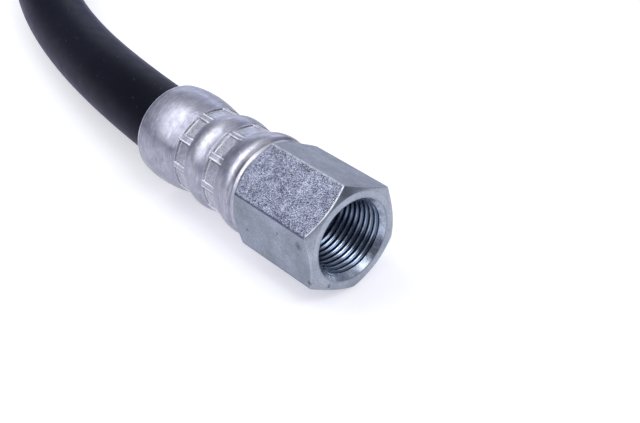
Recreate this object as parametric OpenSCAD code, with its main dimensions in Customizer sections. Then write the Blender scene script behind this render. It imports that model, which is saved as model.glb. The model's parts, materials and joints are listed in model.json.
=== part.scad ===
// Hydraulic hose assembly: a short length of two-braid rubber hose with a
// crimped female port fitting on each end. Millimetres.
//
// Frame: the origin is on the near port's axis at the start of its full
// thread. +X points out of the near port and +Z is up. The assembly lies on
// the plane z = -hex_corner_r, with an edge of each hexagon down.

/* [Port fitting] */
// Hexagon size across its flats (7/8 inch spanner)
hex_af = 22.225; // [21:0.005:24]
// Length of the hexagon, from the front face to its back face
hex_length = 24.15; // [23:0.05:28]
// Radius of the flat ring on the front face
face_ring_r = 10.65; // [10.3:0.05:11]
// Angle of the front corner chamfer from the face
front_chamfer_angle = 28; // [20:1:40]
// Radius of the hexagon's back face, inside its back chamfer
back_face_r = 11.05; // [10.5:0.05:11.1]
// Angle of the back corner chamfer from the axis
back_chamfer_angle = 50; // [30:1:55]

/* [Threaded port] */
// Radius of the port wall: the tapping hole of an 11/16-18 thread
port_r = 7.94; // [7.5:0.01:8.2]
// Radius of the countersink at the front face
countersink_r = 9.14; // [8.8:0.02:9.6]
// Length of the threaded wall
thread_length = 12.8; // [10:0.1:14]
// Depth of the flare seat's pocket past the thread
pocket_depth = 3.2; // [2.5:0.1:4]
// Radius of the flat tip of the conical flare seat
seat_tip_r = 3.8; // [3.5:0.1:4.2]
// Radius of the foot of the conical flare seat
seat_foot_r = 5.3; // [5:0.1:5.6]

/* [Stem] */
// Radius of the passage through the fitting
passage_r = 3.2; // [2.8:0.1:3.5]
// Radius of the neck that the ferrule's collar grips
neck_r = 6; // [5.6:0.1:6.5]
// Radius of the locking ring behind the collar
lock_ring_r = 7.2; // [6.8:0.1:7.6]
// Outer radius of the barbed stem
stem_r = 4.75; // [4.6:0.05:4.75]
// Depth of the grooves between the barbs
barb_depth = 0.4; // [0.2:0.05:0.6]
// Number of barbs on the stem
barbs = 9; // [5:1:11]

/* [Ferrule] */
// Radius of the lobe at the hose end
mouth_lobe_r = 11.3; // [11:0.05:11.6]
// Radius of the lobe between the two crimped bands
middle_lobe_r = 11; // [10.9:0.05:11.3]
// Radius of the lobe next to the hexagon
hex_lobe_r = 11.65; // [11.3:0.05:11.9]
// Radius left between the jaw marks, in the band nearer the mouth
mouth_band_r = 10.25; // [10.15:0.05:10.6]
// Radius left between the jaw marks, in the band nearer the hexagon
hex_band_r = 10.45; // [10.45:0.05:10.85]
// Distance from the axis of the jaw flats' deeper edge, in the band nearer the mouth
mouth_flat_r = 9.92; // [9.7:0.02:10.06]
// Distance from the axis of the jaw flats' deeper edge, in the band nearer the hexagon
hex_flat_r = 10.2; // [10.1:0.01:10.3]
// Angle of the jaw flats to the axis
jaw_tilt = 3.4; // [0:0.2:4]
// Number of crimping jaws round the ferrule
jaws = 10; // [8:1:12]
// Width of the ridge that is left between two jaw flats
ridge_w = 0.8; // [0.5:0.1:1.2]
// Wall thickness of the ferrule
ferrule_wall = 1.5; // [1.2:0.1:1.6]

/* [Hose] */
// Corner radii of the hose's layers, from its bore to its outer surface
bore_r = 4.95; // [4.95:0.05:5.1]
// Outside of the inner tube
tube_r = 6.3; // [6.1:0.05:6.5]
// Outside of the inner braid
inner_braid_r = 6.8; // [6.6:0.05:6.9]
// Outside of the rubber between the braids
middle_r = 7.1; // [7:0.05:7.2]
// Outside of the outer braid
outer_braid_r = 7.6; // [7.4:0.05:7.8]
// Outside of the cover
cover_r = 8.6; // [8.3:0.05:8.6]

/* [Hidden] */
$fn = 96;

// Hexagon
hex_corner_r = hex_af / 2 / cos(30);
csk_depth = countersink_r - port_r;
face_x = csk_depth;
hex_back_x = face_x - hex_length;
front_chamfer_x = (hex_corner_r - face_ring_r) * tan(front_chamfer_angle);
back_chamfer_x = (hex_corner_r - back_face_r) / tan(back_chamfer_angle);

// Port, pocket and seat
pocket_x = -thread_length - pocket_depth;
pocket_mouth_r = 6.9;
pocket_floor_r = 5.9;
pocket_mouth_x = -thread_length - 1.2;
seat_tip_x = pocket_x + 2.6;

// Stem and neck
collar_w = 3;
neck_end_x = hex_back_x - collar_w;
lock_ring_x = neck_end_x - 1.3;
stem_end_x = -56.8;
stem_nose = 0.8;
barb_start_x = lock_ring_x - 2.5;
barb_end_x = stem_end_x + 3;

// Ferrule: the crests of its lobes, the straight stretches of its crimped
// bands, and the jaw marks within those, along x
mouth_x = -58.6;
mouth_r = 10.87;
mouth_edge = 0.4;
mouth_crest_x = -53.7;
mouth_band = [-45.2, -41.6];
middle_crest_x = -38.3;
hex_band = [-34.9, -31.2];
mouth_jaw = [-44.9, -41.8];
hex_jaw = [-34.3, -30.6];
hex_crest_x = -26.1;
front_nose_x = -24.4;
front_nose_r = 11.48;
front_foot_r = 10.4;
jaw_phase = 24;
far_jaw_phase = 9;
step_deg = 15;

// The hose's centre line, from its cut end in the near fitting to its cut end
// in the far one. It leaves each ferrule straight, drops to the ground and lies
// there in one open bend.
far_origin = [-31.4, 174.5, 0];
hose_end_x = lock_ring_x;
route = [
    [-58.6, 0, 0],
    [-90.5, 4, -1.8],
    [-119, 9.8, -3.8],
    [-147, 18, -4.2],
    [-173, 31.5, -4.2],
    [-193, 52.5, -4.2],
    [-203.5, 79.5, -4.2],
    [-204, 108, -4.2],
    [-193.5, 135, -4.2],
    [-174, 156, -4.2],
    [-148, 169, -3.4],
    [-119.5, 174, -1.5],
    [-90, 174.5, 0]
];
sides = 12;

steel = [0.74, 0.76, 0.82];
bright = [0.8, 0.8, 0.86];
rubber = [0.07, 0.07, 0.085];
soft_rubber = [0.16, 0.16, 0.17];
yarn = [0.82, 0.8, 0.72];

// ---- Port fitting, on the X axis ----

// A solid turned round the X axis from points [x, radius]
module turned(points) {
    rotate([0, 90, 0])
        rotate_extrude()
            polygon([for (p = points) [p[1], p[0]]]);
}

module hexagon() {
    intersection() {
        translate([hex_back_x, 0, 0])
            rotate([0, 90, 0])
                cylinder(h = hex_length, r = hex_corner_r, $fn = 6);
        turned([
            [hex_back_x, 0],
            [hex_back_x, back_face_r],
            [hex_back_x + back_chamfer_x, hex_corner_r],
            [face_x - front_chamfer_x, hex_corner_r],
            [face_x, face_ring_r],
            [face_x, 0]
        ]);
    }
}

// One barb: a ramp that rises away from the hose's cut end, then a square step
function barb(i) =
    let (pitch = (barb_start_x - barb_end_x) / barbs)
    let (x = barb_start_x - i * pitch)
    [[x, stem_r], [x - 0.01, stem_r - barb_depth], [x - pitch * 0.9, stem_r]];

module stem() {
    turned(concat(
        [[hex_back_x + 1, 0], [hex_back_x + 1, neck_r], [neck_end_x, neck_r],
         [neck_end_x, lock_ring_r], [lock_ring_x, lock_ring_r], [lock_ring_x, stem_r]],
        [for (i = [0:barbs - 1]) each barb(i)],
        [[stem_end_x + stem_nose, stem_r], [stem_end_x, stem_r - stem_nose], [stem_end_x, 0]]
    ));
}

// The port: countersink, threaded wall, and the pocket round the flare seat
module port_cut() {
    turned([
        [face_x + 1, 0],
        [face_x + 1, countersink_r + 1],
        [0, port_r],
        [-thread_length, port_r],
        [pocket_mouth_x, pocket_mouth_r],
        [pocket_x, pocket_floor_r],
        [pocket_x, seat_foot_r],
        [seat_tip_x, seat_tip_r],
        [seat_tip_x, passage_r],
        [stem_end_x - 1, passage_r],
        [stem_end_x - 1, 0]
    ]);
}

module fitting_body() {
    color(steel)
        difference() {
            union() {
                hexagon();
                stem();
            }
            port_cut();
        }
}

// ---- Ferrule ----

// A smooth rise from edge_r at x = a up to crest_r at x = b, short of the crest
function rise(a, b, edge_r, crest_r) =
    [for (t = [0:step_deg:89]) [a + (b - a) * t / 90, edge_r + (crest_r - edge_r) * (sin(t) + pow(sin(t), 2)) / 2]];

// A full curve from edge_r at x = a up to crest_r at x = b, short of the crest
function bulge(a, b, edge_r, crest_r) =
    [for (w = [1:-0.2:0.1]) [b + (a - b) * w, crest_r - (crest_r - edge_r) * w * w]];

function back(points) = [for (i = [len(points) - 1:-1:0]) points[i]];

function outside() = concat(
    [for (t = [0, 45]) [mouth_x + mouth_edge * (1 - cos(t)), mouth_r - mouth_edge * (1 - sin(t))]],
    bulge(mouth_x + mouth_edge, mouth_crest_x, mouth_r, mouth_lobe_r),
    [[mouth_crest_x, mouth_lobe_r]],
    back(bulge(mouth_band[0], mouth_crest_x, mouth_band_r, mouth_lobe_r)),
    rise(mouth_band[1], middle_crest_x, mouth_band_r, middle_lobe_r),
    [[middle_crest_x, middle_lobe_r]],
    back(bulge(hex_band[0], middle_crest_x, hex_band_r, middle_lobe_r)),
    rise(hex_band[1], hex_crest_x, hex_band_r, hex_lobe_r),
    [[hex_crest_x, hex_lobe_r], [(hex_crest_x + front_nose_x) / 2, hex_lobe_r - 0.05]],
    [for (t = [0:22.5:90])
        [front_nose_x + (hex_back_x - front_nose_x) * sin(t),
         front_foot_r + (front_nose_r - front_foot_r) * cos(t)]]
);

// The wall's inside follows the outside, and closes to the collar by the hexagon
function inside() = concat(
    [[hex_back_x, neck_r], [neck_end_x, neck_r], [neck_end_x, hex_lobe_r - ferrule_wall]],
    [for (p = back(outside()))
        if (p[0] > mouth_x + mouth_edge / 2 && p[0] < neck_end_x - 0.5) [p[0], p[1] - ferrule_wall]],
    [[mouth_x, mouth_r - ferrule_wall + mouth_edge / 2]]
);

// The flats that one ring of jaws presses, deeper at the side of the hose
module jaw_flats(jaw, flat_r, phase) {
    flat_w = 2 * flat_r * tan(180 / jaws) - ridge_w;
    for (i = [0:jaws - 1])
        rotate([phase + i * 360 / jaws, 0, 0])
            translate([jaw[0], 0, flat_r])
                rotate([0, -jaw_tilt, 0])
                    translate([0, -flat_w / 2, 0])
                        cube([jaw[1] - jaw[0], flat_w, 3]);
}

module fitting_ferrule(phase) {
    color(bright)
        difference() {
            turned(concat(outside(), inside()));
            jaw_flats(mouth_jaw, mouth_flat_r, phase);
            jaw_flats(hex_jaw, hex_flat_r, phase);
        }
}

// ---- Hose ----

near_end = [hose_end_x, 0, 0];
far_end = far_origin + near_end;
line = concat([near_end], route, [far_end]);

function unit(v) = v / norm(v);

// The hose's direction at point i of a line
function heading(l, i) =
    i == 0 ? unit(l[1] - l[0])
    : i == len(l) - 1 ? unit(l[i] - l[i - 1])
    : unit(unit(l[i + 1] - l[i]) + unit(l[i] - l[i - 1]));

// One ring of points of radius r round point i of a line
function ring(l, i, r) =
    let (d = heading(l, i))
    let (side = unit(cross([0, 0, 1], d)))
    let (up = cross(d, side))
    [for (k = [0:sides - 1])
        let (a = (k + 0.5) * 360 / sides)
        l[i] + r * (cos(a) * side + sin(a) * up)];

// A hollow tube along a line, with an inner and an outer radius at each point
module tube(l, inner, outer) {
    n = len(l);
    points = concat(
        [for (i = [0:n - 1]) each ring(l, i, outer[i])],
        [for (i = [0:n - 1]) each ring(l, i, inner[i])]
    );
    base = n * sides;
    last = (n - 1) * sides;
    wall = [for (i = [0:n - 2], k = [0:sides - 1])
        let (m = (k + 1) % sides)
        [[i * sides + k, i * sides + m, (i + 1) * sides + m],
         [i * sides + k, (i + 1) * sides + m, (i + 1) * sides + k]]];
    ends = [for (k = [0:sides - 1])
        let (m = (k + 1) % sides)
        each [[k, base + k, base + m], [k, base + m, m],
              [last + k, last + m, base + last + m], [last + k, base + last + m, base + last + k]]];
    polyhedron(points, concat(
        [for (w = wall) each [for (t = w) [t[0], t[2], t[1]]]],
        [for (w = wall) each [for (t = w) [base + t[0], base + t[1], base + t[2]]]],
        [for (t = ends) [t[0], t[2], t[1]]]
    ));
}

function same(r, l) = [for (p = l) r];

module layer(inner_r, outer_r) {
    tube(line, same(inner_r, line), same(outer_r, line));
}

// Inside each ferrule the cover swells into the lobes: [x, radius]
swell = [
    [hose_end_x, hex_band_r - ferrule_wall - 0.12],
    [middle_crest_x, hex_band_r - ferrule_wall - 0.12],
    [(mouth_band[0] + mouth_band[1]) / 2, mouth_band_r - ferrule_wall - 0.18],
    [mouth_crest_x, mouth_lobe_r - ferrule_wall - 0.6]
];

module inner_tube() color(soft_rubber) layer(bore_r, tube_r);

module inner_braid() color(yarn) layer(tube_r, inner_braid_r);

module middle_rubber() color(soft_rubber) layer(inner_braid_r, middle_r);

module outer_braid() color(yarn) layer(middle_r, outer_braid_r);

module outer_cover() {
    near = [for (s = swell) [s[0], 0, 0]];
    far = back([for (s = swell) far_origin + [s[0], 0, 0]]);
    swollen = [for (s = swell) s[1]];
    path = concat(near, route, far);
    color(rubber)
        tube(path, same(outer_braid_r, path),
             concat(swollen, same(cover_r, route), back(swollen)));
}

// ---- The two ends ----

module near_body() fitting_body();

module near_ferrule() fitting_ferrule(jaw_phase);

module far_body() translate(far_origin) fitting_body();

module far_ferrule() translate(far_origin) fitting_ferrule(far_jaw_phase);

near_body();
near_ferrule();
far_body();
far_ferrule();
inner_tube();
inner_braid();
middle_rubber();
outer_braid();
outer_cover();
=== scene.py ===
import json
import math
from functools import cached_property

import bpy
import numpy as np
from mathutils import Matrix, Vector


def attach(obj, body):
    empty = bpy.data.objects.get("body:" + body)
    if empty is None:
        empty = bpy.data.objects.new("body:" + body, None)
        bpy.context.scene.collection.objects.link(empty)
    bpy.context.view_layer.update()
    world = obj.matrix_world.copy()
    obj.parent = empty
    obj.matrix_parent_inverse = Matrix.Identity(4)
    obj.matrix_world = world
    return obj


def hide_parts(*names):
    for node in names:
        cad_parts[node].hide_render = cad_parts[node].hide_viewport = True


# The looks of a hydraulic hose with a crimped port fitting on each end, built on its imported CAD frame.
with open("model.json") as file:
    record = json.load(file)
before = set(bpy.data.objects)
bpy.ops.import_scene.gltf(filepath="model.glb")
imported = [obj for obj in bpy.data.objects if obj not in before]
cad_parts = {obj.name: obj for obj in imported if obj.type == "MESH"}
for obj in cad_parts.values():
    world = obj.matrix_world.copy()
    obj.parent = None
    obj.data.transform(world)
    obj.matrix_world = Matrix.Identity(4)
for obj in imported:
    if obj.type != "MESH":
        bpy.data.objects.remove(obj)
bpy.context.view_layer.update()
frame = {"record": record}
MM = 0.001
PORTS = {mount["name"]: mount for mount in frame["record"]["mounts"]}

# ---------------------------------------------------------------- dimensions
# In millimetres. Most are part.scad's own; the small roundings and the crimp relief are only the look's.
# The near port's size and the far port's place come from the frame.
AF = 22.225  # the hexagon's width across flats
APOTHEM = AF / 2
HEX_CORNER = math.radians(30)  # from the middle of a flat to a corner
CORNER_ROUND = 0.35  # radius of the hexagon's six edges
FLAT_EDGE, FLAT_STEPS = 0.13, 10  # width of the soft edge at a flat's two ends, and the steps between them
FACE_X, HEX_BACK_X = 1.2, -22.95
FACE_RING_R, BACK_FACE_R = 10.65, 11.05  # the round faces inside the chamfers
FRONT_TAN = math.tan(math.radians(28))
BACK_TAN = math.tan(math.radians(50))

PORT_R = PORTS["near_port"]["dims"]["r_mm"]
THREAD_LEN = PORTS["near_port"]["dims"]["length_mm"]
CSK_R = 9.14  # the countersink's radius at the face
PITCH, THREAD_DEPTH = 25.4 / 18, 0.47
THREAD_RUN_OUT = 1.2 * PITCH  # over which the thread fades at its inner end
THREAD_STEPS, THREAD_TOP_X = 176, 1.1  # of the thread's mesh, which ends in the countersink
SEAT_TIP_X, POCKET_X = -13.4, -16.0  # the flare seat's tip, and the floor of the pocket round it
PASSAGE_XS = (-45, -30, -18)  # rings along the passage

NECK_R, NECK_END_X, LOCK_R, LOCK_X = 6.0, -25.95, 7.2, -27.25  # the neck and the locking ring
STEM_R, STEM_END_X, STEM_NOSE, PASSAGE_R = 4.75, -56.8, 0.8, 3.2
BARBS, BARB_DEPTH = 9, 0.4
BARBS_START_X, BARBS_END_X = LOCK_X - 2.5, STEM_END_X + 3

MOUTH_X, MOUTH_R, MOUTH_EDGE = -58.6, 10.87, 0.4  # the ferrule's mouth, over the hose
NOSE_TURN_X, NOSE_X = -25.1, -24.6  # where the ferrule's last lobe turns down, and where its nose begins
LOBES = {"mouth": (-53.7, 11.3), "middle": (-38.3, 11.0), "hex": (-26.3, 11.65)}  # crest x, crest radius
BANDS = {"mouth": (-45.2, -41.6, 10.25), "hex": (-34.9, -31.2, 10.45)}  # from x, to x, radius
JAWS = {"mouth": (-44.9, -41.8, 9.92), "hex": (-34.3, -30.6, 10.2)}  # from x, to x, the pads' radius
JAW_COUNT = 10
JAW_TURN = 360 / JAW_COUNT
RIB_HALF = 0.72  # half the rib that the gap between two jaws leaves
NEAR_PHASE, FAR_PHASE = 24.0, 9.0  # the degrees that each ferrule is turned by
HIGHLIGHT_BETA = 6  # the middle of the side with the painted highlight crescents, before the ferrule is turned
# the painted highlight crescents on that side: x, width along X, amount
HIGHLIGHT_CRESCENTS = [(-25.5, 0.6, 0.6), (-38.0, 1.6, 0.5), (-49.5, 2.5, 0.2)]

HOSE_R, OUTER_BRAID_R, MIDDLE_R, INNER_BRAID_R, TUBE_R, BORE_R = 8.5, 7.6, 7.1, 6.8, 6.3, 4.9
COVER_START_X, LAYERS_START_X = -29.0, -28.2  # in the near ferrule
INSIDE_STEPS, FREE_STEPS = 8, 150  # of the hose's line, inside a ferrule and between the two

FLOOR_Z = -APOTHEM / math.cos(HEX_CORNER)  # a corner of each hexagon stands on it
FAR_ORIGIN = tuple(round(c / MM, 3) for c in PORTS["far_port"]["pos_m"])

# the hose's centre line from mouth to mouth, and its direction at both ends
ROUTE = [
    (-58.6, 0, 0),
    (-90.5, 4, -1.8),
    (-119, 9.8, -3.8),
    (-147, 18, -4.2),
    (-173, 31.5, -4.2),
    (-193, 52.5, -4.2),
    (-203.5, 79.5, -4.2),
    (-204, 108, -4.2),
    (-193.5, 135, -4.2),
    (-174, 156, -4.2),
    (-148, 169, -3.4),
    (-119.5, 174, -1.5),
    (-90, 174.5, 0),
]
ROUTE_STARTS, ROUTE_ENDS = (-0.996, 0.080, -0.030), (0.998, 0.0, 0.03)


def clamp(v):
    return min(max(v, 0), 1)


def axes(x, y, z):
    """The turn that brings the three axes to these directions."""
    return Matrix((x, y, z)).transposed().to_4x4()


# -------------------------------------------------------------------- camera
CAMERA_PLACE = (138.381, -112.094, 143.468)
CAMERA_RIGHT = (0.65898, 0.74642, -0.09272)
CAMERA_BACK = (0.63134, -0.48190, 0.60760)


def make_camera():
    """A camera with a long lens, above the near port and in front of it."""
    data = bpy.data.cameras.new("camera")
    data.sensor_width = 36.0
    data.lens = 65.056
    data.clip_start, data.clip_end = 0.01, 20
    camera = bpy.data.objects.new("camera", data)
    back = Vector(CAMERA_BACK).normalized()
    up = back.cross(Vector(CAMERA_RIGHT).normalized()).normalized()
    camera.matrix_world = Matrix.Translation(Vector(CAMERA_PLACE) * MM) @ axes(up.cross(back), up, back)
    bpy.context.scene.collection.objects.link(camera)
    bpy.context.scene.camera = camera


make_camera()

# --------------------------------------------------------------------- nodes
# A colour Mix node's sockets have the same names as its number sockets, so they go by place.
MIX_FACTOR, MIX_A, MIX_B, MIX_RESULT = 0, 6, 7, 2


class Nodes:
    """Short names for the nodes that the materials and the room are made of."""

    def __init__(self, tree):
        tree.nodes.clear()
        self.tree = tree

    @cached_property
    def coord(self):
        """The place on the object, in metres."""
        return self.add("ShaderNodeTexCoord").outputs["Object"]

    def add(self, kind, inputs=None, **settings):
        """A new node. Each of its inputs takes another node's output, a number, a vector or a colour."""
        node = self.tree.nodes.new(kind)
        for name, value in settings.items():
            setattr(node, name, value)
        for name, value in (inputs or {}).items():
            socket = node.inputs[name]
            if isinstance(value, bpy.types.NodeSocket):
                self.tree.links.new(value, socket)
            elif socket.type == "RGBA":
                socket.default_value = (*value, 1)
            else:
                socket.default_value = value
        return node

    def mapped(self, scale):
        """The place with its own scale along each axis, which draws a noise out into streaks."""
        return self.add("ShaderNodeMapping", {"Vector": self.coord, "Scale": scale}).outputs[0]

    def noise(self, scale, detail, rough=0.5, vector=None, distortion=0.0):
        inputs = {"Vector": vector or self.coord, "Scale": scale, "Detail": detail, "Roughness": rough}
        return self.add("ShaderNodeTexNoise", {**inputs, "Distortion": distortion}).outputs["Fac"]

    def contour(self, noise):
        """A noise's distance from its middle value: thin winding lines where it is nearly 0."""
        return self.calc("ABSOLUTE", self.calc("SUBTRACT", noise, 0.5))

    def cells(self, scale):
        """The distance to the middle of a cell, and a random colour for each cell."""
        node = self.add("ShaderNodeTexVoronoi", {"Vector": self.coord, "Scale": scale})
        return node.outputs["Distance"], node.outputs["Color"]

    def ramp(self, value, stops):
        node = self.add("ShaderNodeValToRGB", {"Fac": value})
        elements = node.color_ramp.elements
        elements[0].position = stops[0][0]
        elements[1].position = stops[-1][0]
        for place, _ in stops[1:-1]:
            elements.new(place)
        for element, (_, colour) in zip(elements, stops):
            element.color = (*colour, 1)
        return node.outputs[0]

    def span(self, value, low, high, at_low=0.0, at_high=1.0, curve="LINEAR"):
        """The value carried over from low..high to at_low..at_high, and held level past both."""
        inputs = {"Value": value, "From Min": low, "From Max": high, "To Min": at_low, "To Max": at_high}
        return self.add("ShaderNodeMapRange", inputs, interpolation_type=curve).outputs[0]

    def mix(self, factor, a, b, blend="MIX"):
        inputs = {MIX_FACTOR: factor, MIX_A: a, MIX_B: b}
        return self.add("ShaderNodeMix", inputs, data_type="RGBA", blend_type=blend).outputs[MIX_RESULT]

    def calc(self, operation, *values):
        return self.add("ShaderNodeMath", dict(enumerate(values)), operation=operation).outputs[0]

    def times(self, a, b):
        return self.calc("MULTIPLY", a, b)

    def mark(self, kind):
        """One of the MARKS that the mesh carries."""
        return self.add("ShaderNodeAttribute", attribute_name=kind).outputs["Fac"]

    def bump(self, height, strength, distance, under=None):
        """A bump, its distance in millimetres, on top of another one."""
        inputs = {"Height": height, "Strength": strength, "Distance": distance * MM}
        if under:
            inputs["Normal"] = under
        return self.add("ShaderNodeBump", inputs).outputs[0]

    def surface(self, inputs):
        return self.add("ShaderNodeBsdfPrincipled", inputs).outputs[0]


# ----------------------------------------------------------------- materials
# Noise scales are per metre: a scale of 400 makes forms of about 2.5 mm.
def material(name, look):
    """A material with the surface that look(nodes) makes."""
    m = bpy.data.materials.new(name)
    m.use_nodes = True
    n = Nodes(m.node_tree)
    n.add("ShaderNodeOutputMaterial", {"Surface": look(n)})
    return m


def rubber_look(n):
    """The smooth black cover with a little dust: dots in some of the cells, and short hairs."""
    base = n.ramp(n.noise(60, 3), [(0.35, (0.0022, 0.0027, 0.0062)), (0.7, (0.0046, 0.0052, 0.0100))])
    gap, pick = n.cells(750)
    dots = n.times(n.span(gap, 0.06, 0.16, 1.0, 0.0), n.span(pick, 0.74, 0.80))
    lines = n.span(n.contour(n.noise(210, 2, 0.5, distortion=1.2)), 0.0012, 0.004, 1.0, 0.0)
    hairs = n.times(lines, n.span(n.noise(120, 2), 0.58, 0.64))
    dust = n.calc("MAXIMUM", dots, n.times(hairs, 0.6))
    return n.surface({
        "Base Color": n.mix(n.times(dust, 0.75), base, (0.085, 0.09, 0.13)),
        "Roughness": n.span(n.noise(300, 4), 0.3, 0.7, 0.38, 0.48),
        "Normal": n.bump(n.noise(1500, 3), 0.15, 0.06, n.bump(n.noise(260, 3), 0.12, 0.15)),
        "IOR": 1.10,
        "Specular Tint": (0.66, 0.69, 1.0),
        "Sheen Weight": 0.26,
        "Sheen Roughness": 0.30,
        "Sheen Tint": (0.50, 0.51, 1.0),
    })


def soft_rubber_look(n):
    """The matte rubber of the tube and of the layer between the braids."""
    return n.surface({
        "Base Color": n.ramp(n.noise(200, 3), [(0.3, (0.012, 0.012, 0.012)), (0.7, (0.02, 0.02, 0.02))]),
        "Roughness": 0.6,
    })


def wire_look(n):
    """Brass-coated wire."""
    return n.surface({
        "Base Color": n.ramp(n.noise(2500, 2), [(0.35, (0.28, 0.22, 0.12)), (0.65, (0.75, 0.68, 0.5))]),
        "Metallic": 1.0,
        "Roughness": 0.35,
    })


def ferrule_look(n):
    """Bright zinc with fine turning marks, scratches and dents, gritty where the jaws pressed it, with
    painted highlights and painted shade from the mesh's marks.
    """
    pale = (0.66, 0.66, 0.74)
    turning = n.noise(1, 3, 0.6, n.mapped((2600, 260, 260)))
    base = n.ramp(n.noise(420, 4, 0.7), [(0.32, (0.262, 0.264, 0.338)), (0.68, (0.39, 0.39, 0.462))])
    fine = n.ramp(turning, [(0.3, (0.82, 0.82, 0.86)), (0.7, (1.04, 1.04, 1.04))])
    scratch = n.contour(n.noise(1, 2, 0.5, n.mapped((700, 110, 110))))
    clean = n.mix(1.0, base, fine, "MULTIPLY")
    clean = n.mix(n.span(scratch, 0.002, 0.009, 0.5, 0.0), clean, pale)
    grit = n.noise(3600, 2, 0.7)
    rough = n.times(n.mark("press"), n.span(grit, 0.42, 0.66, 0.0, 0.9))
    # painted shade from the mesh's dark mark, broken up by the grit
    painted_shade = n.times(n.mark("painted_shade"), n.span(grit, 0.3, 0.6, 1.0, 0.7))
    colour = n.mix(painted_shade, n.mix(rough, clean, pale), (0.06, 0.06, 0.09))
    # painted highlights from the mesh's bright mark
    edge = n.times(n.mark("highlight_and_wear_mark"), n.span(n.noise(900, 3, 0.6), 0.35, 0.6, 0.45, 1.0))
    dents = n.bump(n.noise(420, 2, 0.5), 0.10, 0.20, n.bump(rough, 0.35, 0.05))
    return n.surface({
        "Base Color": n.mix(edge, colour, (0.92, 0.92, 0.97)),
        "Roughness": n.span(n.noise(700, 4, 0.6), 0.3, 0.7, 0.31, 0.45),
        "Normal": n.bump(n.noise(1600, 4, 0.65), 0.20, 0.06, n.bump(turning, 0.14, 0.04, dents)),
        "Metallic": 1.0,
    })


def highlights_and_shade(n, colour, light=(0.90, 0.91, 0.95), dark=(0.045, 0.055, 0.10)):
    """The colour lightened by the mesh's bright mark and darkened by its dark mark: painted highlights and
    painted shade.
    """
    edge = n.times(n.mark("highlight_and_wear_mark"), n.span(n.noise(700, 3, 0.6), 0.35, 0.6, 0.35, 1.0))
    return n.mix(n.mark("painted_shade"), n.mix(edge, colour, light), dark)


# where the plating is stained, in millimetres, and each stain's radius
STAINS = [
    ((-2.0, -11.1, 3.4), 1.2),
    ((0.0, -11.1, -4.8), 0.8),
    ((-8.5, -11.1, 3.2), 0.4),
    ((1.2, -7.4, -7.3), 0.6),
    ((-20.8, 7.9, 8.3), 0.5),
    ((-16.0, 6.8, 9.3), 0.4),
    ((-19.0, -11.1, -1.5), 0.6),
    ((-12.0, 11.0, -2.0), 0.9),
]


def stains(n, colour):
    """The colour with the stains, which have ragged edges."""
    ragged = n.span(n.noise(2300, 3, 0.65), 0.36, 0.50)
    for place, radius in STAINS:
        gap = n.add("ShaderNodeVectorMath", {0: n.coord, 1: [c * MM for c in place]}, operation="DISTANCE")
        near = n.span(gap.outputs["Value"], 0.35 * radius * MM, radius * MM, 0.9, 0.0)
        colour = n.mix(n.times(near, ragged), colour, (0.055, 0.06, 0.07))
    return colour


def flat_look(n):
    """The milled flats, the neck and the stem: clouded grey plating with scratches and stains, and the
    mesh's painted highlights and painted shade.
    """
    clouds = [(0.3, (0.22, 0.25, 0.30)), (0.5, (0.28, 0.305, 0.375)), (0.7, (0.33, 0.36, 0.46))]
    base = n.ramp(n.noise(140, 4, 0.6), clouds)
    grain = n.ramp(n.noise(2900, 3, 0.7), [(0.35, (0.70, 0.72, 0.76)), (0.65, (1.06, 1.06, 1.06))])
    scratch = n.contour(n.noise(1, 2, 0.5, n.mapped((60, 420, 420))))
    clean = n.mix(1.0, base, grain, "MULTIPLY")
    clean = n.mix(n.span(scratch, 0.001, 0.006, 0.30, 0.0), clean, (0.46, 0.48, 0.54))
    return n.surface({
        "Base Color": highlights_and_shade(n, stains(n, clean)),
        "Roughness": n.span(n.noise(500, 3), 0.3, 0.7, 0.36, 0.50),
        "Normal": n.bump(n.noise(2400, 3, 0.6), 0.22, 0.06),
        "Metallic": 1.0,
    })


def mottled_look(n):
    """The bar's own skin on two flats: dark with a pale mottle and bright flecks, and the mesh's painted
    highlights and painted shade.
    """
    cloud = n.noise(230, 3, 0.6)
    patches = n.span(n.noise(520, 3, 0.7), 0.35, 0.65, -0.034, 0.030)
    grain = n.calc("ADD", n.noise(6000, 2, 0.8), patches)
    dark = n.ramp(cloud, [(0.35, (0.040, 0.048, 0.095)), (0.65, (0.085, 0.10, 0.165))])
    light = n.ramp(cloud, [(0.35, (0.50, 0.53, 0.66)), (0.65, (0.66, 0.70, 0.86))])
    gap, pick = n.cells(2500)
    fleck = n.times(n.span(gap, 0.14, 0.30, 1.0, 0.0), n.span(pick, 0.58, 0.66))
    skin = n.mix(n.span(grain, 0.448, 0.582), dark, light)
    return n.surface({
        "Base Color": highlights_and_shade(n, n.mix(n.times(fleck, 0.95), skin, (0.97, 0.98, 1.0))),
        "Roughness": n.span(grain, 0.35, 0.65, 0.85, 0.62),
        "Normal": n.bump(grain, 0.6, 0.07),
        "Metallic": 1.0,
    })


def thread_look(n):
    """The port's inside: shiny steel whose dark navy is in part painted shade for the bore, with scuffed
    crests that are a little duller, painted highlights on the crests and the countersink, and painted shade
    in the roots.
    """
    # the dark navy is in part painted shade for the bore's depths
    base = n.ramp(n.noise(500, 3), [(0.3, (0.085, 0.12, 0.20)), (0.7, (0.15, 0.195, 0.29))])
    duller = n.times(n.mark("highlight_and_wear_mark"), 0.12)
    return n.surface({
        "Base Color": highlights_and_shade(n, base, (0.84, 0.90, 1.0), (0.045, 0.07, 0.13)),
        "Roughness": n.calc("ADD", n.span(n.noise(900, 3), 0.3, 0.7, 0.17, 0.27), duller),
        "Metallic": 1.0,
    })


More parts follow.
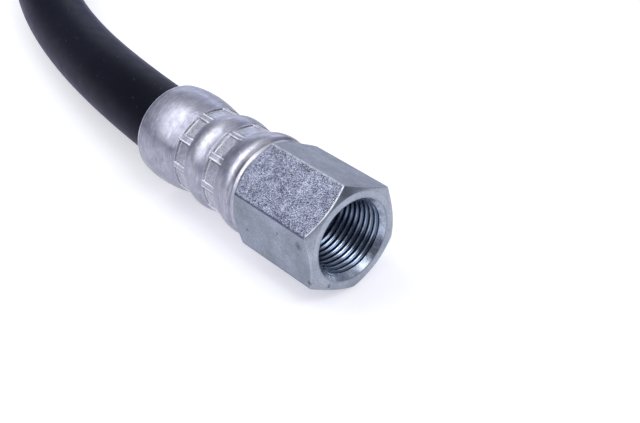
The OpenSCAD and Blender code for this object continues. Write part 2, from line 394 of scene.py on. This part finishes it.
def face_look(n):
    """The face round the port and its chamfer: paler grey plating with fine grain and stains, and the
    mesh's painted highlights and painted shade.
    """
    base = n.ramp(n.noise(260, 4), [(0.3, (0.33, 0.36, 0.43)), (0.7, (0.44, 0.475, 0.54))])
    grain = n.ramp(n.noise(2900, 3, 0.7), [(0.38, (0.76, 0.78, 0.81)), (0.62, (1.0, 1.0, 1.0))])
    return n.surface({
        "Base Color": highlights_and_shade(n, stains(n, n.mix(1.0, base, grain, "MULTIPLY"))),
        "Roughness": n.span(n.noise(900, 3), 0.3, 0.7, 0.32, 0.44),
        "Normal": n.bump(n.noise(2200, 3), 0.14, 0.05),
        "Metallic": 1.0,
    })


MATERIALS = {
    "rubber": material("cover_rubber", rubber_look),
    "soft": material("tube_rubber", soft_rubber_look),
    "wire": material("braid_wire", wire_look),
    "ferrule": material("ferrule_zinc", ferrule_look),
    "flat": material("fitting_steel", flat_look),
    "mottled": material("fitting_steel_mottled", mottled_look),
    "thread": material("fitting_steel_thread", thread_look),
    "face": material("fitting_steel_face", face_look),
}

# -------------------------------------------------------------- mesh helpers
MARKS = ("highlight_and_wear_mark", "painted_shade", "press")  # a bright mark of painted highlight that also dulls the thread's crests, a dark mark of painted shade, a rough press mark
PLAIN = (0.0, 0.0, 0.0)


def grid(name, rings, materials, material_at=None, marks=None):
    """A smooth closed mesh from rings of points in millimetres, the last ring joined to the first.

    material_at(j, i) is the material of the face past point i of ring j. marks holds the three MARKS,
    each from 0 to 1, for each point.
    """
    rows, around = len(rings), len(rings[0])
    faces, picks = [], []
    for j in range(rows):
        ring, next_ring = j * around, (j + 1) % rows * around
        for i in range(around):
            after = (i + 1) % around
            faces.append((ring + i, ring + after, next_ring + after, next_ring + i))
            picks.append(material_at(j, i) if material_at else 0)
    mesh = bpy.data.meshes.new(name)
    mesh.from_pydata([tuple(c * MM for c in point) for ring in rings for point in ring], [], faces)
    for m in materials:
        mesh.materials.append(m)
    mesh.polygons.foreach_set("material_index", picks)
    mesh.polygons.foreach_set("use_smooth", [True] * len(faces))
    if marks:
        values = np.array([mark for ring in marks for mark in ring], float)
        for k, kind in enumerate(MARKS):
            mesh.attributes.new(kind, "FLOAT", "POINT").data.foreach_set("value", values[:, k])
    mesh.validate()
    mesh.update()
    o = bpy.data.objects.new(name, mesh)
    bpy.context.scene.collection.objects.link(o)
    return o


def turned_point(x, r, beta):
    """The point at x and radius r; beta is measured from +Z toward -Y, in degrees."""
    a = math.radians(beta)
    return (x, -r * math.sin(a), r * math.cos(a))


def both_sides(steps):
    """The steps, of which the first is 0, after their opposites."""
    return [-d for d in reversed(steps[1:])] + steps


# ---------------------------------------------------------------------- hose
def spline(points, start, end):
    """A clamped cubic spline through the points, as a function of chord length, and its length."""
    p = np.array(points, float)
    s = np.concatenate([[0], np.cumsum(np.linalg.norm(np.diff(p, axis=0), axis=1))])
    h, n = np.diff(s), len(p)
    a, rhs = np.zeros((n, n)), np.zeros((n, 3))
    a[0, 0], a[-1, -1] = 1, 1
    rhs[0], rhs[-1] = start, end
    for i in range(1, n - 1):
        a[i, i - 1 : i + 2] = h[i], 2 * (h[i - 1] + h[i]), h[i - 1]
        rhs[i] = 3 * (h[i] * (p[i] - p[i - 1]) / h[i - 1] + h[i - 1] * (p[i + 1] - p[i]) / h[i])
    slope = np.linalg.solve(a, rhs)

    def at(t):
        i = min(max(int(np.searchsorted(s, t)) - 1, 0), n - 2)
        u = (t - s[i]) / h[i]
        return ((2 * u**3 - 3 * u**2 + 1) * p[i] + (u**3 - 2 * u**2 + u) * h[i] * slope[i]
                + (3 * u**2 - 2 * u**3) * p[i + 1] + (u**3 - u**2) * h[i] * slope[i + 1])

    return at, s[-1]


curve, free_length = spline(ROUTE, ROUTE_STARTS, ROUTE_ENDS)
free = [tuple(curve(free_length * i / FREE_STEPS)) for i in range(FREE_STEPS + 1)]


def hose_line(start_x):
    """The hose's centre line from start_x in the near ferrule to the same place in the far one."""
    inside = [start_x + (MOUTH_X - start_x) * i / INSIDE_STEPS for i in range(INSIDE_STEPS)]
    far = [(x + FAR_ORIGIN[0], FAR_ORIGIN[1], 0.0) for x in reversed(inside)]
    return [(x, 0.0, 0.0) for x in inside] + free + far


def sweep(name, line, outer, inner, mat, sides):
    """A closed hollow tube along a line, in millimetres."""
    points = [Vector(p) for p in line]
    last = len(points) - 1
    shells = []
    for r in (outer, inner):
        rings = []
        for i, p in enumerate(points):
            along = (points[min(i + 1, last)] - points[max(i - 1, 0)]).normalized()
            side = Vector((0, 0, 1)).cross(along).normalized()
            over = along.cross(side)
            turns = [2 * math.pi * k / sides for k in range(sides)]
            rings.append([tuple(p + r * (math.cos(a) * side + math.sin(a) * over)) for a in turns])
        shells.append(rings)
    return grid(name, shells[0] + shells[1][::-1], [mat])


hose_path = hose_line(COVER_START_X)
hose = sweep("hose_cover", hose_path, HOSE_R, OUTER_BRAID_R, MATERIALS["rubber"], sides=64)
layers = []
for name, outer, inner, mat, node in (
    ("hose_outer_braid", OUTER_BRAID_R, MIDDLE_R, "wire", "outer_braid"),
    ("hose_middle_rubber", MIDDLE_R, INNER_BRAID_R, "soft", "middle_rubber"),
    ("hose_inner_braid", INNER_BRAID_R, TUBE_R, "wire", "inner_braid"),
    ("hose_inner_tube", TUBE_R, BORE_R, "soft", "inner_tube"),
):
    layer = sweep(name, hose_line(LAYERS_START_X), outer, inner, MATERIALS[mat], sides=24)
    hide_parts(node)
    layers.append(layer)


# ---------------------------------------------------------------- port body
def hex_radius(delta):
    """The hexagon's radius delta degrees away from a corner, with its edges rounded."""
    d = math.radians(abs(delta))
    centre = (APOTHEM - CORNER_ROUND) / math.cos(HEX_CORNER)  # of the rounding
    edge = math.atan2(CORNER_ROUND * math.sin(HEX_CORNER), centre + CORNER_ROUND * math.cos(HEX_CORNER))
    if d < edge:
        return centre * math.cos(d) + math.sqrt(CORNER_ROUND**2 - (centre * math.sin(d)) ** 2)
    return APOTHEM / math.cos(HEX_CORNER - d)


# degrees from a corner, closer together where it is rounded
CORNER_STEPS = [0.0, 0.35, 0.79, 1.5, 3.5, 6, 9, 12, 15, 18, 21, 24, 27]
# the body's sections: degrees round it, and degrees from the nearest corner
ANGLES = []
for corner in range(6):
    ANGLES += [(corner * 60 + d, d) for d in both_sides(CORNER_STEPS) + [30.0]]


def on_mottled(angle):
    """Two opposite flats keep the bar's rough skin; the first is centred on 30 degrees."""
    return int(math.floor(((angle + 0.01) % 360) / 60)) in (0, 3)


def thread_radius(x, beta):
    """The female thread's wall: a right-hand helix, rounded as a tap and the plating leave it."""
    turn_at = ((x / PITCH) - beta / 360.0) % 1.0
    wave = (1 - math.cos(2 * math.pi * (turn_at - 0.5))) / 2
    return PORT_R + THREAD_DEPTH * wave * clamp((x + THREAD_LEN) / THREAD_RUN_OUT)


THREAD_XS = [-THREAD_LEN + i * (THREAD_LEN + THREAD_TOP_X) / THREAD_STEPS for i in range(THREAD_STEPS + 1)]
# the flare seat's cone from the passage down into its pocket, and the pocket's wall up to the thread
SEAT = [(SEAT_TIP_X - 0.1, PASSAGE_R), (SEAT_TIP_X, PASSAGE_R + 0.1), (SEAT_TIP_X, 3.7),
        (SEAT_TIP_X - 0.1, 3.87), (POCKET_X + 0.1, 5.25), (POCKET_X, 5.4), (POCKET_X, 5.8),
        (POCKET_X + 0.1, 5.95), (-14.1, 6.85), (-13.9, 6.98), (-12.95, 7.82)]


def tail_outline():
    """The neck, the locking ring, the barbed stem and the passage back toward the flare seat."""
    points = [(HEX_BACK_X, NECK_R + 0.1), (HEX_BACK_X - 0.1, NECK_R), (NECK_END_X + 0.1, NECK_R),
              (NECK_END_X, NECK_R + 0.1), (NECK_END_X, LOCK_R - 0.1), (NECK_END_X - 0.1, LOCK_R),
              (LOCK_X + 0.1, LOCK_R), (LOCK_X, LOCK_R - 0.1), (LOCK_X, STEM_R + 0.1),
              (LOCK_X - 0.1, STEM_R)]
    pitch = (BARBS_START_X - BARBS_END_X) / BARBS
    for i in range(BARBS):
        x = BARBS_START_X - i * pitch
        points += [(x, STEM_R), (x - 0.05, STEM_R - BARB_DEPTH), (x - pitch * 0.9, STEM_R)]
    points += [(STEM_END_X + STEM_NOSE, STEM_R), (STEM_END_X, STEM_R - STEM_NOSE),
               (STEM_END_X, PASSAGE_R + 0.1), (STEM_END_X + 0.1, PASSAGE_R)]
    return points + [(x, PASSAGE_R) for x in PASSAGE_XS]


def body_section(beta, delta):
    """The closed section at beta, delta degrees from a corner, in stretches: material, wear, points.

    Its edges are rounded by 0.01 to 0.15 mm.
    """
    h = hex_radius(delta)
    front, back = h - FACE_RING_R, h - BACK_FACE_R  # how high the two chamfers are
    xf, xb = FACE_X - front * FRONT_TAN, HEX_BACK_X + back / BACK_TAN  # where they meet the flat
    kf, kb = min(0.12, front * 0.3), min(0.09, back * 0.25)  # rings that keep the chamfers' edges crisp
    first, last = xf - FLAT_EDGE, xb + FLAT_EDGE  # the flat's rings between its soft edges
    along = [first + (last - first) * i / FLAT_STEPS for i in range(1, FLAT_STEPS)]
    return [
        ("face", "", [(FACE_X - 0.06, CSK_R - 0.06)]),
        ("face", "port_rim", [(FACE_X - 0.01, CSK_R + 0.02), (FACE_X, CSK_R + 0.1)]),
        ("face", "", [(FACE_X, r) for r in (9.5, 10.1, FACE_RING_R - 0.1)]),
        ("face", "face_rim", [(FACE_X - 0.012, FACE_RING_R)]),
        ("face", "chamfer", [
            (FACE_X - kf * FRONT_TAN, FACE_RING_R + kf),
            ((FACE_X + xf) / 2, (FACE_RING_R + h) / 2),
            (xf + kf * FRONT_TAN, h - kf),
        ]),
        ("hex", "front_edge", [(xf - 0.02, h - 0.01)]),
        ("hex", "flat_front", [(first, h)]),
        ("hex", "flat", [(xf - 0.36, h)] + [(x, h) for x in along]),
        ("flat", "flat", [(last, h)]),
        ("flat", "flat_back", [(xb + 0.02, h - 0.01)]),
        ("flat", "back_chamfer", [
            (xb - kb, h - kb * BACK_TAN),
            ((xb + HEX_BACK_X) / 2, (h + BACK_FACE_R) / 2),
        ]),
        ("flat", "", [
            (HEX_BACK_X + 0.02, BACK_FACE_R + 0.02),
            (HEX_BACK_X + 0.01, BACK_FACE_R - 0.02),
            (HEX_BACK_X, BACK_FACE_R - 0.15),
        ]),
        ("flat", "", tail_outline()),
        ("thread", "", SEAT),
        # the thread goes on up the countersink, which is a cone of 45 degrees
        ("thread", "thread", [(x, max(thread_radius(x, beta), PORT_R + x)) for x in THREAD_XS]),
    ]


BODY_ROWS = [(kind, mark_place) for kind, mark_place, points in body_section(0, 0) for _ in points]
STEELS = ["flat", "mottled", "thread", "face"]


def steel_at(j, i):
    """The index in STEELS of the face past ring j and section i."""
    kind = BODY_ROWS[j][0]
    if kind == "hex":
        kind = "mottled" if on_mottled(ANGLES[i][0]) else "flat"
    return STEELS.index(kind)


def thread_mark(x, beta):
    """Painted highlights along the crests and evenly over the countersink, and painted shade in the roots.
    """
    cut = (thread_radius(x, beta) - PORT_R - max(x, 0)) / THREAD_DEPTH
    crest = 0.4 if x > 0 else 0.9 * max(1 - 2.7 * cut, 0)
    return crest, 0.5 * clamp((cut - 0.36) / 0.3), 0.0


def hex_mark(mark_place, angle, delta):
    """The hexagon's marks: painted highlight along two of its six corners and painted shade along the other
    four, painted shade on the front chamfers and in the rear corners, dark lines at the port's rim and the
    face's rim, and bright front edges, brightest on the skin flats.
    """
    bright_corner = round(angle / 60) % 3 == 0
    light = dark = 0.0
    if mark_place == "port_rim":
        dark = 0.3
    elif mark_place == "face_rim":
        dark = 0.25
    elif mark_place == "chamfer":
        dark = (0.55 if bright_corner else 0.2) * max(1 - delta / 24, 0)
    elif mark_place in ("front_edge", "flat_front"):
        light = 0.95 if on_mottled(angle) and delta > 0.4 else 0.12
    elif mark_place in ("flat_back", "back_chamfer"):
        dark = 0.6 * max(1 - delta / 5, 0)
    if mark_place in ("flat_front", "flat", "flat_back") and delta < 1:
        light, dark = (0.45, 0.0) if bright_corner else (light, 0.65)
    return light, dark, 0.0


def body_mark(mark_place, x, angle, delta):
    return thread_mark(x, angle) if mark_place == "thread" else hex_mark(mark_place, angle, abs(delta))


def make_body(name):
    sections = [[p for _, _, points in body_section(*at) for p in points] for at in ANGLES]
    rows = list(zip(*sections))
    rings = [[turned_point(*p, angle) for p, (angle, _) in zip(row, ANGLES)] for row in rows]
    marks = []
    for (_, mark_place), row in zip(BODY_ROWS, rows):
        marks.append([body_mark(mark_place, x, *at) for (x, _), at in zip(row, ANGLES)])
    return grid(name, rings, [MATERIALS[s] for s in STEELS], steel_at, marks)


# ------------------------------------------------------------------- ferrule
def climb(x, edge_x, edge_r, lobe):
    """The radius at x on a rounded climb from a band's edge up to a lobe's crest."""
    t = math.radians(90 * clamp((x - edge_x) / (lobe[0] - edge_x)))
    return edge_r + (lobe[1] - edge_r) * (math.sin(t) + math.sin(t) ** 2) / 2


def bulge(x, edge_x, edge_r, lobe):
    """The radius at x on a parabola from a lobe's crest down to an edge."""
    w = (x - lobe[0]) / (edge_x - lobe[0])
    return lobe[1] - (lobe[1] - edge_r) * w * w


def shell_radius(x):
    """The ferrule's turned outside, before the jaws press it."""
    mouth, middle, last = LOBES["mouth"], LOBES["middle"], LOBES["hex"]
    (a, b, low), (c, d, high) = BANDS["mouth"], BANDS["hex"]
    if x <= MOUTH_X + MOUTH_EDGE:
        v = clamp((MOUTH_X + MOUTH_EDGE - x) / MOUTH_EDGE)
        return MOUTH_R - MOUTH_EDGE + MOUTH_EDGE * math.sqrt(1 - v * v)
    if x <= mouth[0]:
        return bulge(x, MOUTH_X + MOUTH_EDGE, MOUTH_R, mouth)
    if x <= a:
        return bulge(x, a, low, mouth)
    if x <= b:
        return low
    if x <= middle[0]:
        return climb(x, b, low, middle)
    if x <= c:
        return bulge(x, c, high, middle)
    if x <= d:
        return high
    if x <= last[0]:
        return climb(x, d, high, last)
    return last[1] - 0.05 * (x - last[0]) ** 2 - 0.5 * max(x - NOSE_TURN_X, 0) ** 2


def step(v, edge, soft):
    """0 below edge and 1 above it, over a distance soft."""
    t = clamp((v - edge) / soft + 0.5)
    return t * t * (3 - 2 * t)


def bell(v, middle, width):
    """1 at the middle and 0 far from it."""
    return math.exp(-(((v - middle) / width) ** 2))


def highlight_side(beta):
    """1 in the middle of the side with the painted highlights, and 0 on the side away from it."""
    return max(math.cos(math.radians(beta - HIGHLIGHT_BETA)), 0) ** 2


def pressed(x, beta, r):
    """The outside's radius and marks at x and beta after the ten jaws have pressed each band."""
    from_jaw = (beta + JAW_TURN / 2) % JAW_TURN - JAW_TURN / 2  # degrees from the middle of a jaw
    d = abs(from_jaw)
    under = 0.85 if from_jaw < 0 else 0.35  # painted shade, stronger on a rib's shaded side
    rib = math.floor(beta / JAW_TURN) % JAW_COUNT
    # painted highlight and painted shade lines just inside the mouth's edge, and painted highlight
    # crescents on the highlight side
    light = 0.55 * bell(x, MOUTH_X + 0.45, 0.16)
    light += highlight_side(beta) ** 2 * sum(amount * bell(x, at, width) for at, width, amount in HIGHLIGHT_CRESCENTS)
    dark, rough = 0.5 * bell(x, MOUTH_X + 0.85, 0.22), 0.0
    for band, (a, b, flat_r) in enumerate(JAWS.values()):
        uneven = math.sin(5.1 * rib + 2.3 * band + 0.7)  # no two ribs are quite alike
        degree = math.radians(1) * flat_r  # in millimetres
        edge = (d - JAW_TURN / 2) * degree + RIB_HALF + 0.10 * uneven  # how far past the jaw's side edge
        along = step(x, a, 0.26) * (1 - step(x, b, 0.5))
        across = 1 - step(edge, 0, 0.2)
        # the pad that a jaw leaves rises toward the hexagon, and is between a plane and a cylinder
        flat = (flat_r + 0.085 * (x - a) - 0.04) * (1 + 0.45 * (1 / math.cos(math.radians(d)) - 1))
        deep = max(r - flat, 0)
        r -= deep * along * across
        # the metal squeezed up over the rib and at its two edges, and the lip at the jaw's hose side
        run = step(x, a - 0.35 - 0.15 * uneven, 0.5) * (1 - step(x, b + 0.3 - 0.2 * uneven, 0.7))
        side = bell(edge, 0.16, 0.13) * run
        lip = min(deep / 0.12, 1) * across
        r += (0.09 + 0.03 * uneven) * side + 0.03 * run * step(edge, 0.1, 0.2)
        r += 0.03 * bell(x, a - 0.22, 0.14) * lip
        # painted highlights on the rib's raised edges and on the lip, and painted shade: a dark line at the
        # lip and each rib's shaded side
        light = max(light, side, bell(x, a + 0.32, 0.17) * lip, 0.35 * bell(x, b - 0.1, 0.16) * lip)
        dark = max(dark, 0.65 * bell(x, a - 0.02, 0.15) * lip, under * bell(edge, -0.16, 0.15) * run)
        rough = max(rough, run * (0.8 - 0.35 * step(edge, 0.1, 0.3)))
    return r, (light, dark, rough)


def stations(edges):
    """x positions from the mouth to the nose, 0.42 mm apart and down to 0.07 mm near the edges."""
    xs = [MOUTH_X + v for v in (0, 0.03, 0.1, 0.2, 0.3)]
    x = MOUTH_X + MOUTH_EDGE
    while x < NOSE_X:
        xs.append(x)
        near = min(abs(x - edge) for edge in edges)
        x += 0.07 if near < 0.45 else 0.2 if near < 0.9 else 0.42
    return xs


XS = stations([MOUTH_X] + [x for a, b, _ in JAWS.values() for x in (a, b)])
# degrees from the middle of a jaw, closer together at its side edge
JAW_STEPS = [0, 4, 8, 11, 12.4, 13, 13.4, 13.8, 14.15, 14.5, 14.85, 15.2, 15.6, 16.1, 17]
JAW_ANGLES = []
for jaw in range(JAW_COUNT):
    JAW_ANGLES += [JAW_TURN * jaw + d for d in both_sides(JAW_STEPS) + [JAW_TURN / 2]]

# the collar in the body's neck, and the inside from there to the mouth
COLLAR = [(HEX_BACK_X, 9.9), (HEX_BACK_X, NECK_R + 0.1), (HEX_BACK_X - 0.1, NECK_R),
          (NECK_END_X + 0.1, NECK_R), (NECK_END_X, NECK_R + 0.1), (NECK_END_X, 10.1)]
INSIDE = [(-27.0, 10.1), (-30.6, 9.0), (-35.0, 8.95), (-38.3, 9.4), (-41.6, 8.75), (-45.2, 8.75),
          (-49.5, 9.5), (-53.7, 9.8), (-57.8, 9.45), (MOUTH_X + 0.3, 9.4), (MOUTH_X + 0.08, 9.47),
          (MOUTH_X, 9.6), (MOUTH_X, 10.2)]


def nose_outline(beta):
    """The nose's groove and its bead against the hexagon, both deepest on the side with the painted
    highlights, with a painted highlight on the bead, painted shade in the groove and painted shade at the
    joint with the hexagon.
    """
    near = highlight_side(beta)
    bead_highlight, groove = (0.55 * near, 0.0, 0.0), (0.0, 0.4 * near, 0.0)
    return [
        (-24.45, 11.30, PLAIN),
        (-24.3, 11.25 - 0.05 * near, groove),
        (-24.2, 11.22 - 0.09 * near, groove),
        (-24.1, 11.19 - 0.075 * near, PLAIN),
        (-24.0, 11.16 - 0.04 * near, bead_highlight),
        (-23.65, 11.095, bead_highlight),
        (-23.35, 11.02 + 0.04 * near, bead_highlight),
        (-23.2, 10.96 + 0.04 * near, PLAIN),
        (-23.05, 10.8, groove),
        (HEX_BACK_X, 10.4, (0.0, 0.4, 0.0)),
    ]


def ferrule_section(beta):
    """The ferrule's closed section at beta: x, radius and marks."""
    outside = [(x, *pressed(x, beta, shell_radius(x))) for x in XS]
    return outside + nose_outline(beta) + [(x, r, PLAIN) for x, r in COLLAR + INSIDE]


def make_ferrule(name, phase):
    rows = list(zip(*[ferrule_section(beta) for beta in JAW_ANGLES]))
    rings = [[turned_point(x, r, beta + phase) for beta, (x, r, _) in zip(JAW_ANGLES, row)] for row in rows]
    marks = [[mark for _, _, mark in row] for row in rows]
    return grid(name, rings, [MATERIALS["ferrule"]], marks=marks)


# ------------------------------------------------------ pieces and the frame
near_body, far_body = make_body("port_body_near"), make_body("port_body_far")
near_ferrule, far_ferrule = make_ferrule("ferrule_near", NEAR_PHASE), make_ferrule("ferrule_far", FAR_PHASE)
for o in (far_body, far_ferrule):
    o.location = Vector(FAR_ORIGIN) * MM

for o, node, slot in (
    (near_body, "near_body", "fitting_steel"),
    (far_body, "far_body", "fitting_steel"),
    (near_ferrule, "near_ferrule", "ferrule_zinc"),
    (far_ferrule, "far_ferrule", "ferrule_zinc"),
    (hose, "outer_cover", "cover_rubber"),
):
    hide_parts(node)
for o in (near_body, far_body, near_ferrule, far_ferrule, hose, *layers):
    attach(o, "root")

# ----------------------------------------------------------- floor and light
FLOOR_HALF = 12.0  # metres
FLOOR_LIFT = 0.45  # the light that the floor gives where it is seen
ROOM = [(0.0, (0.23, 0.245, 0.30)), (0.3, (0.37, 0.39, 0.46)), (1.0, (1.0, 1.0, 1.0))]  # by height
# the dark parts of the room: a direction, and the degrees from it where the dark ends and where it is full
FLAGS = [((0.58, -0.52, 0.63), 40, 16), ((0.90, 0.38, 0.20), 24, 8)]
FLAG_SHADE = 0.25
LIGHT_TARGET = (-40, 10, 0)  # millimetres


def floor_look(n):
    """Matte, and lifted to white where it is seen, straight or in metal; it keeps the shadow."""
    rays = n.add("ShaderNodeLightPath")
    seen = rays.outputs["Is Camera Ray"]
    for kind in ("Is Glossy Ray", "Is Transmission Ray"):
        seen = n.calc("MAXIMUM", seen, rays.outputs[kind])
    matte = n.add("ShaderNodeBsdfDiffuse", {"Color": (0.66, 0.67, 0.70)})
    lift = n.add("ShaderNodeEmission", {"Color": (1.0, 0.99, 1.04), "Strength": n.times(seen, FLOOR_LIFT)})
    return n.add("ShaderNodeAddShader", {0: matte.outputs[0], 1: lift.outputs[0]}).outputs[0]


def make_floor():
    s = FLOOR_HALF
    mesh = bpy.data.meshes.new("floor")
    mesh.from_pydata([(-s, -s, 0), (s, -s, 0), (s, s, 0), (-s, s, 0)], [], [(0, 1, 2, 3)])
    mesh.materials.append(material("floor", floor_look))
    o = bpy.data.objects.new("floor", mesh)
    o.location = (0, 0, FLOOR_Z * MM)
    bpy.context.scene.collection.objects.link(o)
    return o


def make_room():
    """The light from all round, darker low down and in the flagged parts."""
    world = bpy.data.worlds.new("world")
    bpy.context.scene.world = world
    world.use_nodes = True
    n = Nodes(world.node_tree)
    direction = n.add("ShaderNodeTexCoord").outputs["Generated"]
    light = n.ramp(n.add("ShaderNodeSeparateXYZ", {0: direction}).outputs["Z"], ROOM)
    for middle, ends, full in FLAGS:
        vectors = {0: direction, 1: Vector(middle).normalized()}
        toward = n.add("ShaderNodeVectorMath", vectors, operation="DOT_PRODUCT").outputs["Value"]
        low, high = math.cos(math.radians(ends)), math.cos(math.radians(full))
        flag = n.span(toward, low, high, 1.0, FLAG_SHADE, curve="SMOOTHSTEP")
        light = n.add("ShaderNodeVectorMath", {0: light, "Scale": flag}, operation="SCALE").outputs[0]
    background = n.add("ShaderNodeBackground", {"Color": light})
    n.add("ShaderNodeOutputWorld", {"Surface": background.outputs[0]})


def softbox(name, direction, distance, size, power, colour=(1, 1, 1)):
    """A soft light, in metres and watts, seen in this direction from LIGHT_TARGET.

    The first of its two sizes runs square to the X axis.
    """
    data = bpy.data.lights.new(name, "AREA")
    data.shape = "RECTANGLE"
    data.size, data.size_y = size
    data.energy = power
    data.color = colour
    toward = Vector(direction).normalized()
    across = toward.cross(Vector((1, 0, 0))).normalized()
    place = toward * distance + Vector(LIGHT_TARGET) * MM
    o = bpy.data.objects.new(name, data)
    o.matrix_world = Matrix.Translation(place) @ axes(across, toward.cross(across), toward)
    bpy.context.scene.collection.objects.link(o)


floor = make_floor()
make_room()
softbox("key", (-0.50, -0.40, 0.75), distance=0.9, size=(1.35, 0.23), power=3.6)
softbox("front_top", (0.64, 0.03, 0.765), distance=1.0, size=(0.46, 0.36), power=3.1)
softbox("side", (-0.72, 0.66, 0.19), distance=1.0, size=(0.34, 0.75), power=1.3, colour=(0.82, 0.87, 1.0))
softbox("low", (0.30, -0.93, 0.20), distance=1.0, size=(0.25, 0.40), power=0.9)

bpy.context.scene.view_settings.view_transform = "Standard"
